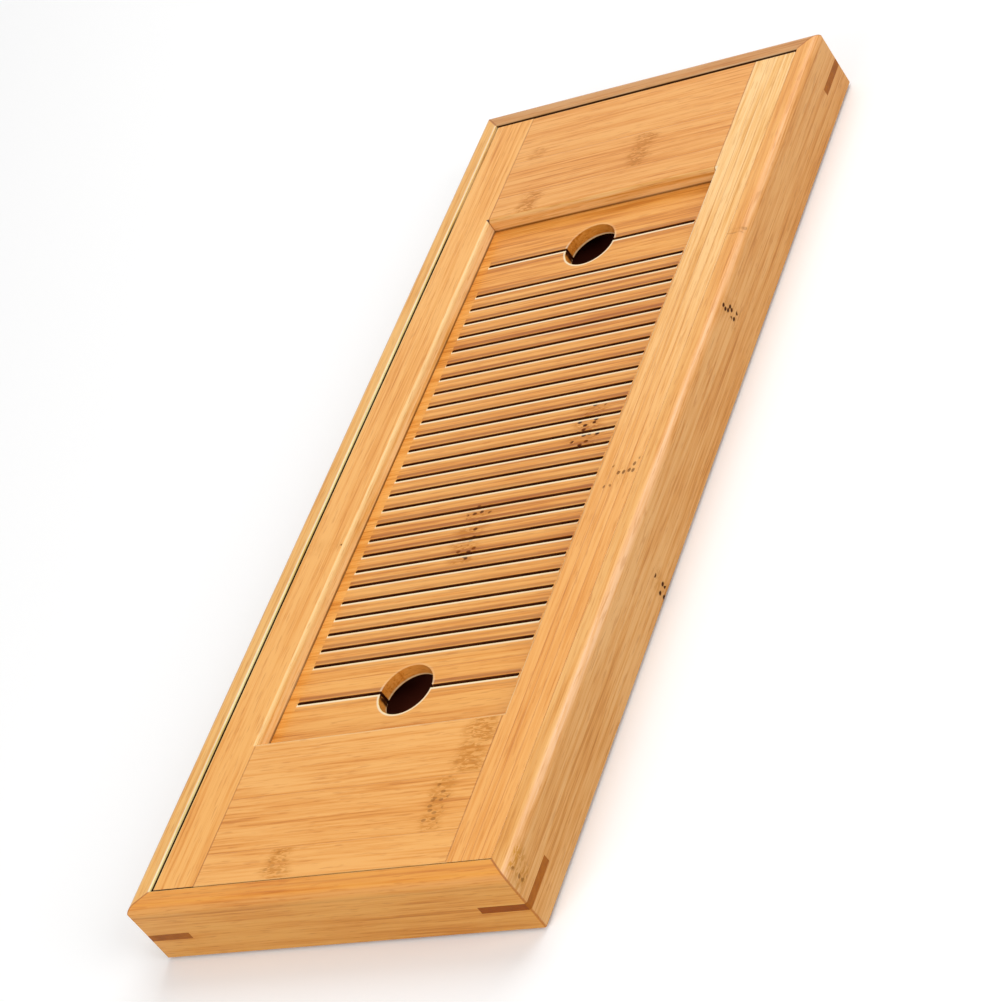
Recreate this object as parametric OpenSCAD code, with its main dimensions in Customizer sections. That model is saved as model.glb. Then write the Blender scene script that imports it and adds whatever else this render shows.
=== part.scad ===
// Gongfu tea tray: a mitred bamboo case, a lift-off slotted top board and a water tray under it.
// Millimetres. Z is up and Y runs along the tray. The origin is the centre of the footprint.

/* [Case] */
// Length of the case along Y
case_l = 380; // [320:1:480]
// Width of the case along X
case_w = 150; // [120:1:220]
// Height of the case walls, without the pads
case_h = 25; // [23:0.5:40]
// Width of a rail
rail_w = 7.5; // [6:0.1:10]
// Width of the ledge glued inside a rail, which carries the top board
ledge_w = 5; // [4:0.1:7]
// Radius along the outer top edge of a rail
rim_round = 3; // [1:0.1:5]
// Radius of the four upright corners
corner_round = 1; // [0.4:0.1:3]
// Radius along the other sharp edges
edge_ease = 0.5; // [0.2:0.05:0.8]

/* [Corner keys] */
// Length of a key along each outer face
key_leg = 18; // [10:0.5:20]
// Thickness of a key
key_t = 3; // [2:0.1:4]
// Height of a key's middle above the underside of the case
key_z = 10.5; // [8:0.1:12]

/* [Base board] */
// Thickness of the base board
base_t = 3; // [2:0.1:4]
// Height of the base board above the underside of the case
base_up = 2.5; // [1.5:0.1:3.5]
// Depth of the groove in the ledges that holds the base board
base_groove = 3; // [1.5:0.1:3.5]
// Room between the base board's edge and the bottom of the groove
base_clear = 0.2; // [0:0.05:0.5]

/* [Pads] */
// Diameter of a pad
foot_d = 10; // [6:0.5:12]
// Thickness of a pad
foot_t = 1; // [0.5:0.1:3]
// Distance from a pad's middle to the nearer long side of the case
foot_side = 16; // [8:0.5:40]
// Distance from a pad's middle to the nearer end of the case
foot_end = 6.2; // [6:0.1:7]

/* [Top board] */
// Gap between the top board and the left rail
gap_left = 1; // [0.2:0.05:1.5]
// Gap between the top board and the right rail
gap_right = 0.3; // [0.2:0.05:1.5]
// Gap between the top board and the front rail
gap_front = 0.5; // [0.2:0.05:1.5]
// Gap between the top board and the back rail
gap_back = 1; // [0.2:0.05:1.5]
// Depth of the top board below the top of the rails
board_drop = 0.4; // [0:0.05:1]
// Width of a long stile
stile_w = 17; // [12:0.1:25]
// Length of an end board along Y, as it shows
end_board_l = 57.8; // [40:0.1:70]
// Depth of the recess over the drain panel
recess_d = 5.2; // [3:0.1:6]
// Radius along the upper edge of the recess
recess_ease = 1.5; // [0.3:0.1:2]

/* [Drain panel] */
// Thickness of the drain panel
panel_t = 5; // [4.5:0.1:6]
// Thickness of the tongues
tongue_t = 3; // [2:0.1:3.5]
// Length of the tongues
tongue_l = 4; // [2:0.1:6]
// Height of the tongues above the underside of the board
tongue_up = 1; // [0.5:0.1:1]
// Room between a tongue and the bottom of its groove
tongue_clear = 0.1; // [0:0.05:0.5]
// Width of a drain slot
slot_w = 1.5; // [1:0.1:3]
// Distance from one slot to the next
slot_pitch = 7.05; // [5:0.05:10]
// Distance from a slot's end to the side of the recess
slot_margin = 4.8; // [3:0.1:12]
// Diameter of a finger hole
finger_hole_d = 20.5; // [16:0.5:25]
// Distance from a finger hole's middle to the end of the recess
hole_end = 20.1; // [16:0.1:30]
// Distance from a finger hole's middle to the first slot of the row
hole_to_slots = 15.7; // [14:0.1:25]

/* [Water tray] */
// Gap between the water tray and the ledges
tray_clear = 0.4; // [0.2:0.05:1]
// Gap between the water tray's rim and the top board
tray_gap = 0.5; // [0.3:0.1:2]
// Thickness of the water tray's wall
tray_wall = 1.5; // [1:0.1:3]
// Thickness of the water tray's floor
tray_floor = 1.5; // [1:0.1:3]
// Outer radius of the water tray's upright corners
tray_round = 6; // [4:0.5:15]

/* [Hidden] */
$fn = 64;
// Extra length of a cutter past the face it cuts
over = 1;
// Width of a rail with its ledge
side_w = rail_w + ledge_w;
stile_t = recess_d + panel_t;
ledge_h = case_h - board_drop - stile_t;
board_z = foot_t + ledge_h;
board_top = board_z + stile_t;
board_x0 = rail_w + gap_left - case_w / 2;
board_x1 = case_w / 2 - rail_w - gap_right;
board_y0 = rail_w + gap_front - case_l / 2;
board_y1 = case_l / 2 - rail_w - gap_back;
board_l = board_y1 - board_y0;
recess_x0 = board_x0 + stile_w;
recess_x1 = board_x1 - stile_w;
recess_y0 = board_y0 + end_board_l;
recess_y1 = board_y1 - end_board_l;
recess_w = recess_x1 - recess_x0;
recess_l = recess_y1 - recess_y0;
mid_x = (recess_x0 + recess_x1) / 2;
mid_y = (recess_y0 + recess_y1) / 2;
tongue_z = board_z + tongue_up;
slot_l = recess_w - 2 * slot_margin;
hole_y = recess_l / 2 - hole_end;
slot_count = floor(2 * (hole_y - hole_to_slots) / slot_pitch) + 1;
base_z = foot_t + base_up;
tray_z = base_z + base_t;
tray_h = board_z - tray_gap - tray_z;
tray_w = case_w - 2 * (side_w + tray_clear);
tray_l = case_l - 2 * (side_w + tray_clear);

bamboo = "#e2a866";
bamboo_pale = "#ecb878";
key_wood = "#8f4f2c";
plastic = "#2b211e";
rubber = "#26262a";

// What a radius takes off the corner at the origin of a shape that fills the first quadrant
module corner_waste(r) {
    difference() {
        translate([-over, -over]) square(r + over);
        translate([r, r]) circle(r);
    }
}

// Rounded rectangle centred on the origin
module round_plan(w, l, r) {
    union() {
        square([w - 2 * r, l], center = true);
        square([w, l - 2 * r], center = true);
        for (sx = [-1, 1], sy = [-1, 1])
            translate([sx * (w / 2 - r), sy * (l / 2 - r)]) circle(r);
    }
}

// Section of a rail: outer face at x = 0, underside at y = 0
module rail_section() {
    difference() {
        square([rail_w, case_h]);
        translate([0, case_h]) mirror([0, 1]) corner_waste(rim_round);
        translate([rail_w, case_h]) rotate(180) corner_waste(edge_ease);
        corner_waste(edge_ease);
    }
}

// Section of a ledge: glued face at x = 0, underside at y = 0
module ledge_section() {
    difference() {
        square([ledge_w, ledge_h]);
        translate([ledge_w, ledge_h]) rotate(180) corner_waste(edge_ease);
        translate([ledge_w - base_groove, base_up]) square([base_groove + over, base_t]);
    }
}

// Side of a frame at -X with its ends mitred, w wide, from the section given as its child
module mitred_side(frame_w, frame_l, w) {
    x0 = -frame_w / 2;
    y0 = frame_l / 2;
    intersection() {
        translate([x0, y0, foot_t]) rotate([90, 0, 0]) linear_extrude(frame_l) children();
        linear_extrude(foot_t + case_h + over)
            polygon([[x0, -y0], [x0, y0], [x0 + w, y0 - w], [x0 + w, w - y0]]);
    }
}

module rail(frame_w, frame_l) {
    difference() {
        intersection() {
            mitred_side(frame_w, frame_l, rail_w) rail_section();
            linear_extrude(foot_t + case_h + over) round_plan(frame_w, frame_l, corner_round);
        }
        for (end = [0, 1]) mirror([0, end, 0]) key_blank(frame_w, frame_l);
    }
}

module ledge(frame_w, frame_l) {
    mitred_side(frame_w - 2 * rail_w, frame_l - 2 * rail_w, ledge_w) ledge_section();
}

// Key across the -X, -Y corner of a frame, before it is planed flush with the rails
module key_blank(frame_w, frame_l) {
    translate([-frame_w / 2, -frame_l / 2, foot_t + key_z - key_t / 2]) linear_extrude(key_t)
        polygon([[-over, -over], [key_leg, -over], [key_leg, 0], [0, key_leg], [-over, key_leg]]);
}

// Key of the front left corner, or of another with right or back set to 1
module corner_key(right, back) {
    color(key_wood) mirror([right, 0, 0]) mirror([0, back, 0]) difference() {
        intersection() {
            key_blank(case_w, case_l);
            linear_extrude(foot_t + case_h) round_plan(case_w, case_l, corner_round);
        }
        translate([rail_w - case_w / 2, rail_w - case_l / 2, foot_t]) cube([case_w, case_l, case_h]);
    }
}

module left_rail() { color(bamboo) rail(case_w, case_l); }
module right_rail() { color(bamboo) rotate(180) rail(case_w, case_l); }
module front_rail() { color(bamboo) rotate(90) rail(case_l, case_w); }
module back_rail() { color(bamboo) rotate(-90) rail(case_l, case_w); }

module left_ledge() { color(bamboo_pale) ledge(case_w, case_l); }
module right_ledge() { color(bamboo_pale) rotate(180) ledge(case_w, case_l); }
module front_ledge() { color(bamboo_pale) rotate(90) ledge(case_l, case_w); }
module back_ledge() { color(bamboo_pale) rotate(-90) ledge(case_l, case_w); }

module base_board() {
    inset = side_w - base_groove + base_clear;
    color(bamboo_pale) translate([inset - case_w / 2, inset - case_l / 2, base_z])
        cube([case_w - 2 * inset, case_l - 2 * inset, base_t]);
}

module pad(side, end) {
    color(rubber) translate([side * (case_w / 2 - foot_side), end * (case_l / 2 - foot_end), 0])
        cylinder(d = foot_d, h = foot_t);
}

// Section of a stile: outer edge at x = 0, underside at y = 0
module stile_section() {
    difference() {
        square([stile_w, stile_t]);
        translate([0, stile_t]) mirror([0, 1]) corner_waste(edge_ease);
        translate([stile_w - tongue_l - tongue_clear, tongue_up]) square([tongue_l + over, tongue_t]);
    }
}

// Stile on the -X side, with its outer edge at x = 0 and its length along Y
module stile() {
    translate([0, board_y1, board_z]) rotate([90, 0, 0]) linear_extrude(board_l) stile_section();
}

// Section of the recess's mouth where it is w wide: middle at x = 0, top of the board at y = 0
module mouth_section(w) {
    difference() {
        translate([-w / 2 - recess_ease, -recess_ease]) square([w + 2 * recess_ease, recess_ease + over]);
        for (side = [-1, 1]) translate([side * (w / 2 + recess_ease), -recess_ease]) circle(recess_ease);
    }
}

// What the rounded upper edge of the recess takes off the boards around it
module recess_mouth() {
    spread = 2 * (recess_ease + over);
    translate([mid_x, mid_y, board_top]) intersection() {
        rotate([90, 0, 0]) linear_extrude(recess_l + spread, center = true) mouth_section(recess_w);
        rotate([90, 0, 90]) linear_extrude(recess_w + spread, center = true) mouth_section(recess_l);
    }
}

module beside_recess(tint) {
    color(tint) difference() {
        children();
        recess_mouth();
    }
}

module left_stile() { beside_recess(bamboo) translate([board_x0, 0, 0]) stile(); }
module right_stile() { beside_recess(bamboo) translate([board_x1, 0, 0]) mirror([1, 0, 0]) stile(); }

// End board with its outer end at y = 0; the recess begins at y = end_board_l
module end_board() {
    difference() {
        union() {
            translate([recess_x0, 0, board_z]) cube([recess_w, end_board_l, stile_t]);
            translate([recess_x0 - tongue_l, 0, tongue_z]) cube([recess_w + 2 * tongue_l, end_board_l, tongue_t]);
        }
        translate([recess_x0 - tongue_l - over, end_board_l - tongue_l - tongue_clear, tongue_z])
            cube([recess_w + 2 * (tongue_l + over), tongue_l + tongue_clear + over, tongue_t]);
        translate([recess_x1 + over, 0, board_top]) rotate([90, 0, -90]) linear_extrude(recess_w + 2 * over)
            rotate(180) corner_waste(edge_ease);
    }
}

module front_end_board() { beside_recess(bamboo_pale) translate([0, board_y0, 0]) end_board(); }
module back_end_board() { beside_recess(bamboo_pale) translate([0, board_y1, 0]) mirror([0, 1, 0]) end_board(); }

module slot_plan() {
    union() {
        square([slot_l - slot_w, slot_w], center = true);
        for (side = [-1, 1]) translate([side * (slot_l - slot_w) / 2, 0]) circle(d = slot_w);
    }
}

module drain_panel() {
    color(bamboo_pale) difference() {
        union() {
            translate([recess_x0, recess_y0, board_z]) cube([recess_w, recess_l, panel_t]);
            translate([recess_x0 - tongue_l, recess_y0 - tongue_l, tongue_z])
                cube([recess_w + 2 * tongue_l, recess_l + 2 * tongue_l, tongue_t]);
        }
        translate([mid_x, mid_y, board_z - over]) linear_extrude(panel_t + 2 * over) {
            for (i = [0 : slot_count - 1]) translate([0, (i - (slot_count - 1) / 2) * slot_pitch]) slot_plan();
            for (end = [-1, 1]) translate([0, end * hole_y]) {
                slot_plan();
                circle(d = finger_hole_d);
            }
        }
    }
}

module water_tray() {
    color(plastic) difference() {
        translate([0, 0, tray_z]) linear_extrude(tray_h) round_plan(tray_w, tray_l, tray_round);
        translate([0, 0, tray_z + tray_floor]) linear_extrude(tray_h)
            round_plan(tray_w - 2 * tray_wall, tray_l - 2 * tray_wall, tray_round - tray_wall);
    }
}

left_rail();
right_rail();
front_rail();
back_rail();
left_ledge();
right_ledge();
front_ledge();
back_ledge();
corner_key(0, 0);  // front_left_key
corner_key(1, 0);  // front_right_key
corner_key(0, 1);  // back_left_key
corner_key(1, 1);  // back_right_key
base_board();
pad(-1, -1);  // front_left_pad
pad(1, -1);  // front_right_pad
pad(-1, 1);  // back_left_pad
pad(1, 1);  // back_right_pad
left_stile();
right_stile();
front_end_board();
back_end_board();
drain_panel();
water_tray();
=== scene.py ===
import math

import bpy
from mathutils import Matrix, Vector


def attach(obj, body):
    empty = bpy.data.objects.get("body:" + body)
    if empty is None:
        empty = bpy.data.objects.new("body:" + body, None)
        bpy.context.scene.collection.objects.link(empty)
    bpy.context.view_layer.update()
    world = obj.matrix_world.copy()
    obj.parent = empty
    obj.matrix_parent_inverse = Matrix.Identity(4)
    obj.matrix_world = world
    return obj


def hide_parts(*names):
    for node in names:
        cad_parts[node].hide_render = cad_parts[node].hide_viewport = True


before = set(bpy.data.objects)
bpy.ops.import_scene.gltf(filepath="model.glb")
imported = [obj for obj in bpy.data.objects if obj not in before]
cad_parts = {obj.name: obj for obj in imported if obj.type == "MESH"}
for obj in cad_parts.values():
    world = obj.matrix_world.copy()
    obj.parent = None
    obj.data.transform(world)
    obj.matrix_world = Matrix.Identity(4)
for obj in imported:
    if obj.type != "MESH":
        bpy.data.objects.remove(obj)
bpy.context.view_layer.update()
print("frame loaded:", len(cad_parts), "nodes")

mm = 0.001
nearEnough = 0.02  # mm, for finding an edge or face by its place


# modelling helpers: every size and place is given in millimetres

def clearSelection():
    if bpy.context.object and bpy.context.object.mode != "OBJECT":
        bpy.ops.object.mode_set(mode="OBJECT")
    bpy.ops.object.select_all(action="DESELECT")


def pickUp(piece):
    clearSelection()
    piece.select_set(True)
    bpy.context.view_layer.objects.active = piece


def addBlock(name, low, high):
    # a cube stretched from corner to corner
    clearSelection()
    middle = [(a + b) / 2 * mm for a, b in zip(low, high)]
    bpy.ops.mesh.primitive_cube_add(size=1, location=middle)
    block = bpy.context.object
    block.name = name
    block.scale = [(b - a) * mm for a, b in zip(low, high)]
    bpy.ops.object.transform_apply(location=True, rotation=True, scale=True)
    return block


def addRod(name, centre, radius, low, high, sides):
    clearSelection()
    place = (centre[0] * mm, centre[1] * mm, (low + high) / 2 * mm)
    bpy.ops.mesh.primitive_cylinder_add(vertices=sides, radius=radius * mm, depth=(high - low) * mm, location=place)
    rod = bpy.context.object
    rod.name = name
    bpy.ops.object.transform_apply(location=True, rotation=True, scale=True)
    return rod


def near(value, target):
    return abs(value - target) < nearEnough


def selectEdges(piece, test):
    # test gets the two ends of each edge, and leaves the piece in edit mode
    pickUp(piece)
    bpy.ops.object.mode_set(mode="EDIT")
    bpy.ops.mesh.select_mode(type="EDGE")
    bpy.ops.mesh.select_all(action="DESELECT")
    bpy.ops.object.mode_set(mode="OBJECT")
    points = piece.data.vertices
    for edge in piece.data.edges:
        ends = [points[i].co / mm for i in edge.vertices]
        edge.select = bool(test(*ends))
    bpy.ops.object.mode_set(mode="EDIT")


def selectFaces(piece, test):
    # test gets each face's centre and normal
    pickUp(piece)
    bpy.ops.object.mode_set(mode="EDIT")
    bpy.ops.mesh.select_mode(type="FACE")
    bpy.ops.mesh.select_all(action="DESELECT")
    bpy.ops.object.mode_set(mode="OBJECT")
    for face in piece.data.polygons:
        face.select = bool(test(face.center / mm, face.normal))
    bpy.ops.object.mode_set(mode="EDIT")


def roundEdges(piece, test, radius, segments):
    selectEdges(piece, test)
    bpy.ops.mesh.bevel(offset=radius * mm, segments=segments, profile=0.5, affect="EDGES")
    bpy.ops.object.mode_set(mode="OBJECT")


def slicePiece(piece, point, normal, keepBoth=False):
    # cuts along a plane, and throws away what lies on the side of its normal
    pickUp(piece)
    bpy.ops.object.mode_set(mode="EDIT")
    bpy.ops.mesh.select_all(action="SELECT")
    bpy.ops.mesh.bisect(plane_co=[v * mm for v in point], plane_no=normal,
                        use_fill=not keepBoth, clear_outer=not keepBoth, threshold=1e-6)
    bpy.ops.object.mode_set(mode="OBJECT")


def pushFaces(piece, test, shift):
    # extrudes the chosen faces straight along shift
    selectFaces(piece, test)
    bpy.ops.mesh.extrude_region_move(TRANSFORM_OT_translate={"value": [v * mm for v in shift]})
    bpy.ops.object.mode_set(mode="OBJECT")


def cutAway(piece, cutter):
    modifier = piece.modifiers.new("cut", "BOOLEAN")
    modifier.operation = "DIFFERENCE"
    modifier.solver = "EXACT"
    modifier.object = cutter
    pickUp(piece)
    bpy.ops.object.modifier_apply(modifier=modifier.name)
    bpy.data.objects.remove(cutter)


def softenArrises(piece, width, segments=2):
    # sanded edges: every sharp edge gets a small radius
    modifier = piece.modifiers.new("arris", "BEVEL")
    modifier.width = width * mm
    modifier.segments = segments
    modifier.limit_method = "ANGLE"
    modifier.angle_limit = math.radians(32)
    modifier.use_clamp_overlap = False
    pickUp(piece)
    bpy.ops.object.modifier_apply(modifier=modifier.name)


def copyPiece(piece, name, turn=0, shift=(0, 0)):
    # a copy with its own mesh, turned about the origin and then moved
    twin = piece.copy()
    twin.data = piece.data.copy()
    twin.name = name
    bpy.context.scene.collection.objects.link(twin)
    twin.matrix_world = Matrix.Translation((shift[0] * mm, shift[1] * mm, 0)) @ Matrix.Rotation(math.radians(turn), 4, "Z")
    pickUp(twin)
    bpy.ops.object.transform_apply(location=True, rotation=True, scale=True)
    return twin


def finishPiece(piece, node, body, slotName, *materials):
    # even shading on flat faces, then material, body and the CAD node it stands for
    pickUp(piece)
    bpy.ops.object.shade_smooth_by_angle(angle=math.radians(40))
    piece.modifiers.new("shading", "WEIGHTED_NORMAL").keep_sharp = True
    bpy.ops.object.modifier_apply(modifier="shading")
    piece.name = node + "_look"
    piece.data.name = piece.name
    piece.data.materials.clear()
    for material in materials:
        piece.data.materials.append(material)
    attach(piece, body)
    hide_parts(node)


def paintFaces(piece, index, test):
    # gives the chosen faces another of the piece's materials
    for face in piece.data.polygons:
        if test(face.center / mm, face.normal):
            face.material_index = index


# node material helpers

def newMaterial(name):
    material = bpy.data.materials.new(name)
    material.use_nodes = True
    material.node_tree.nodes.clear()
    return material, material.node_tree


def addNode(tree, kind, **values):
    node = tree.nodes.new(kind)
    for key, value in values.items():
        setattr(node, key, value)
    return node


def feed(tree, socket, value):
    # an output is linked, and anything else is typed in
    if isinstance(value, bpy.types.NodeSocket):
        tree.links.new(value, socket)
    else:
        socket.default_value = value


def maths(tree, operation, first, second=0.0, clamp=False):
    node = addNode(tree, "ShaderNodeMath", operation=operation, use_clamp=clamp)
    feed(tree, node.inputs[0], first)
    feed(tree, node.inputs[1], second)
    return node.outputs[0]


def blendColour(tree, factor, first, second, blend="MIX"):
    node = addNode(tree, "ShaderNodeMix", data_type="RGBA", blend_type=blend)
    feed(tree, node.inputs["Factor"], factor)
    feed(tree, node.inputs[6], first)
    feed(tree, node.inputs[7], second)
    return node.outputs[2]


def noise(tree, vector, detail=2.0, roughness=0.5, distortion=0.0):
    node = addNode(tree, "ShaderNodeTexNoise")
    feed(tree, node.inputs["Vector"], vector)
    node.inputs["Scale"].default_value = 1.0
    node.inputs["Detail"].default_value = detail
    node.inputs["Roughness"].default_value = roughness
    node.inputs["Distortion"].default_value = distortion
    return node.outputs["Fac"]


def remap(tree, value, low, high, outLow=0.0, outHigh=1.0):
    node = addNode(tree, "ShaderNodeMapRange", clamp=True, interpolation_type="SMOOTHSTEP")
    feed(tree, node.inputs["Value"], value)
    for name, number in (("From Min", low), ("From Max", high), ("To Min", outLow), ("To Max", outHigh)):
        feed(tree, node.inputs[name], number)
    return node.outputs["Result"]


def scaled(tree, vector, scale):
    node = addNode(tree, "ShaderNodeMapping")
    feed(tree, node.inputs["Vector"], vector)
    node.inputs["Scale"].default_value = scale
    return node.outputs["Vector"]


def finishMaterial(tree, shader, height, strength, depth):
    bump = addNode(tree, "ShaderNodeBump")
    bump.inputs["Strength"].default_value = strength
    bump.inputs["Distance"].default_value = depth
    feed(tree, bump.inputs["Height"], height)
    feed(tree, shader.inputs["Normal"], bump.outputs[0])
    out = addNode(tree, "ShaderNodeOutputMaterial")
    feed(tree, out.inputs["Surface"], shader.outputs[0])


# bamboo: strips glued side by side, each with its own tone, fine fibres along the grain,
# and nodes (the joints of the cane), where the grain is mottled and dotted with dark pores

bambooLook = {
    "pale": (0.92, 0.47, 0.125, 1),
    "honey": (0.80, 0.335, 0.055, 1),
    "amber": (0.52, 0.160, 0.008, 1),
    "knot": (0.58, 0.205, 0.001, 1),
    "speck": (0.075, 0.016, 0.001, 1),
    # dark lines: real stains, grain lines and joints, and painted shade at the foot of walls, in corners and beside
    # slots
    "stainAndShade": (0.29, 0.066, 0.001, 1),
    # pale painted highlights on edges, in front of slots and round the finger holes
    "paintedHighlight": (1.0, 0.90, 0.72, 1),
    # dark painted shade in the gaps, and where the slots cut the finger hole walls
    "paintedShade": (0.050, 0.013, 0.003, 1),
    "roughness": 0.38,
    "specular": 0.2,
    "coat": 0.3,
    "coatRoughness": 0.25,
    "glueLine": 0.35,  # mm
}


# lines along each slot, a pale painted highlight and darker lines: place from the slot's middle and half width in mm,
# strength and colour
slotMarks = ((-0.9, 0.9, 0.95, "paintedHighlight"), (1.7, 1.05, 0.7, "stainAndShade"), (-2.85, 0.7, 0.25, "stainAndShade"))


def makeBamboo(name, grain, across, seed, strips=((0, 0.35),), tint=(1, 1, 1), sideTint=None,
               rimHighlightTint=None, backTint=None, backFrom=-180, knots=(), stainsAndPaintedLight=(), slotLines=None,
               paintedShade=None, mitred=False):
    look = bambooLook
    material, tree = newMaterial(name)
    place = addNode(tree, "ShaderNodeTexCoord").outputs["Object"]
    split = addNode(tree, "ShaderNodeSeparateXYZ")
    feed(tree, split.inputs[0], place)
    axes = split.outputs
    along, side = axes[grain], axes[across]

    # a strip begins at each place, with its own tone
    tone, index, glue = strips[0][1], 0.0, 0.0
    for (begin, stripTone), (_, lastTone) in zip(strips[1:], strips):
        past = maths(tree, "GREATER_THAN", side, begin * mm)
        index = maths(tree, "ADD", index, past)
        tone = maths(tree, "ADD", tone, maths(tree, "MULTIPLY", past, stripTone - lastTone))
        offLine = maths(tree, "ABSOLUTE", maths(tree, "SUBTRACT", side, begin * mm))
        glue = maths(tree, "MAXIMUM", glue, remap(tree, offLine, 0, look["glueLine"] * mm, 1, 0))

    # the pattern is moved from strip to strip, and drawn out along the grain
    shift = addNode(tree, "ShaderNodeCombineXYZ")
    feed(tree, shift.inputs["X"], maths(tree, "MULTIPLY", index, 0.731))
    feed(tree, shift.inputs["Y"], maths(tree, "MULTIPLY", index, 1.37))
    feed(tree, shift.inputs["Z"], seed * 0.31)
    moved = addNode(tree, "ShaderNodeVectorMath", operation="ADD")
    feed(tree, moved.inputs[0], place)
    feed(tree, moved.inputs[1], shift.outputs[0])

    def drawnOut(acrossScale, alongScale):
        scale = [acrossScale] * 3
        scale["XYZ".index(grain)] = alongScale
        return scaled(tree, moved.outputs[0], scale)

    bands = noise(tree, drawnOut(230, 3.5), detail=3, roughness=0.6, distortion=0.25)
    streaks = noise(tree, drawnOut(620, 14), detail=2, roughness=0.5, distortion=0.3)
    fibres = noise(tree, drawnOut(1500, 38), detail=2, roughness=0.6)
    dashes = noise(tree, drawnOut(1700, 130), detail=1)
    clouds = noise(tree, drawnOut(45, 16), detail=2)

    def centred(value, weight):
        return maths(tree, "MULTIPLY", maths(tree, "SUBTRACT", value, 0.5), weight)

    for value, weight in ((bands, 1.2), (streaks, 1.6), (fibres, 2.0), (clouds, 0.9)):
        tone = maths(tree, "ADD", tone, centred(value, weight))
    colour = blendColour(tree, remap(tree, tone, -0.1, 0.85), look["pale"], look["honey"])
    colour = blendColour(tree, remap(tree, tone, 0.60, 1.20, 0, 0.7), colour, look["amber"])
    colour = blendColour(tree, remap(tree, dashes, 0.58, 0.72, 0, 0.35), colour, look["amber"])
    colour = blendColour(tree, maths(tree, "MULTIPLY", glue, 0.45), colour, look["amber"])

    # nodes of the cane: a rippled, browner patch with a ragged row of dark pores
    height = maths(tree, "SUBTRACT", fibres, maths(tree, "MULTIPLY", glue, 1.5))
    coat = look["coat"]
    roughness = maths(tree, "ADD", look["roughness"], centred(bands, 0.25))
    if knots:
        ripple = remap(tree, noise(tree, drawnOut(1000, 260), detail=2, roughness=0.65, distortion=1.0), 0.42, 0.58)
        ragged = centred(noise(tree, drawnOut(260, 40), detail=1), 1.6)
        flat = addNode(tree, "ShaderNodeCombineXYZ")
        feed(tree, flat.inputs["X"], maths(tree, "MULTIPLY", along, 330))
        feed(tree, flat.inputs["Y"], maths(tree, "MULTIPLY", side, 480))
        cells = addNode(tree, "ShaderNodeTexVoronoi", voronoi_dimensions="2D")
        feed(tree, cells.inputs["Vector"], flat.outputs[0])
        cells.inputs["Scale"].default_value = 1.0
        chance = addNode(tree, "ShaderNodeSeparateColor")
        feed(tree, chance.inputs[0], cells.outputs["Color"])
        dots = maths(tree, "MULTIPLY", remap(tree, cells.outputs["Distance"], 0.2, 0.4, 1, 0),
                     maths(tree, "GREATER_THAN", chance.outputs[0], 0.5))
    for (spotAlong, spotSide), (reachAlong, reachSide), strength, pores in knots:
        offAlong = maths(tree, "DIVIDE", maths(tree, "SUBTRACT", along, spotAlong * mm), reachAlong * mm)
        offSide = maths(tree, "DIVIDE", maths(tree, "SUBTRACT", side, spotSide * mm), reachSide * mm)
        offAlong = maths(tree, "ABSOLUTE", maths(tree, "ADD", offAlong, ragged))
        inSide = remap(tree, maths(tree, "ABSOLUTE", offSide), 0.88, 1.02, 1, 0)
        patch = maths(tree, "MULTIPLY", inSide, remap(tree, offAlong, 0.3, 1.2, strength, 0))
        patch = maths(tree, "MULTIPLY", patch, remap(tree, ripple, 0, 1, 0.15, 0.8))
        colour = blendColour(tree, patch, colour, look["knot"])
        specks = maths(tree, "MULTIPLY", inSide, remap(tree, offAlong, 0.5, 0.7, pores, 0))
        specks = maths(tree, "MULTIPLY", dots, specks)
        colour = blendColour(tree, specks, colour, look["speck"])
        height = maths(tree, "SUBTRACT", height, maths(tree, "MULTIPLY", specks, 2.0))
        if pores:
            coat = maths(tree, "SUBTRACT", coat, maths(tree, "MULTIPLY", specks, look["coat"]), clamp=True)
            roughness = maths(tree, "ADD", roughness, maths(tree, "MULTIPLY", specks, 0.6), clamp=True)

    # lines along seams, corners and edges: real stains, grain lines and dark joints, painted shade at the foot of walls
    # and in corners, and pale painted highlights
    for axis, spot, reach, strength, lineColour in stainsAndPaintedLight:
        offLine = maths(tree, "ABSOLUTE", maths(tree, "SUBTRACT", axes[axis], spot * mm))
        stainAndShade = maths(tree, "MULTIPLY", remap(tree, offLine, reach * 0.3 * mm, reach * mm, strength, 0), remap(tree, streaks, 0.3, 0.55, 0.6, 1))
        colour = blendColour(tree, stainAndShade, colour, look[lineColour])

    # beside each slot: a pale painted highlight line in front, a darker line behind it and a fainter one further in
    # front
    if slotLines:
        (first, pitch, last), (left, right), (holeSpots, holeRadius) = slotLines
        row = maths(tree, "FLOORED_MODULO", maths(tree, "SUBTRACT", axes["Y"], (first - pitch / 2) * mm), pitch * mm)
        row = maths(tree, "SUBTRACT", row, pitch / 2 * mm)

        def between(value, low, high):
            above = maths(tree, "GREATER_THAN", value, low * mm)
            return maths(tree, "MULTIPLY", above, maths(tree, "LESS_THAN", value, high * mm))

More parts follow.
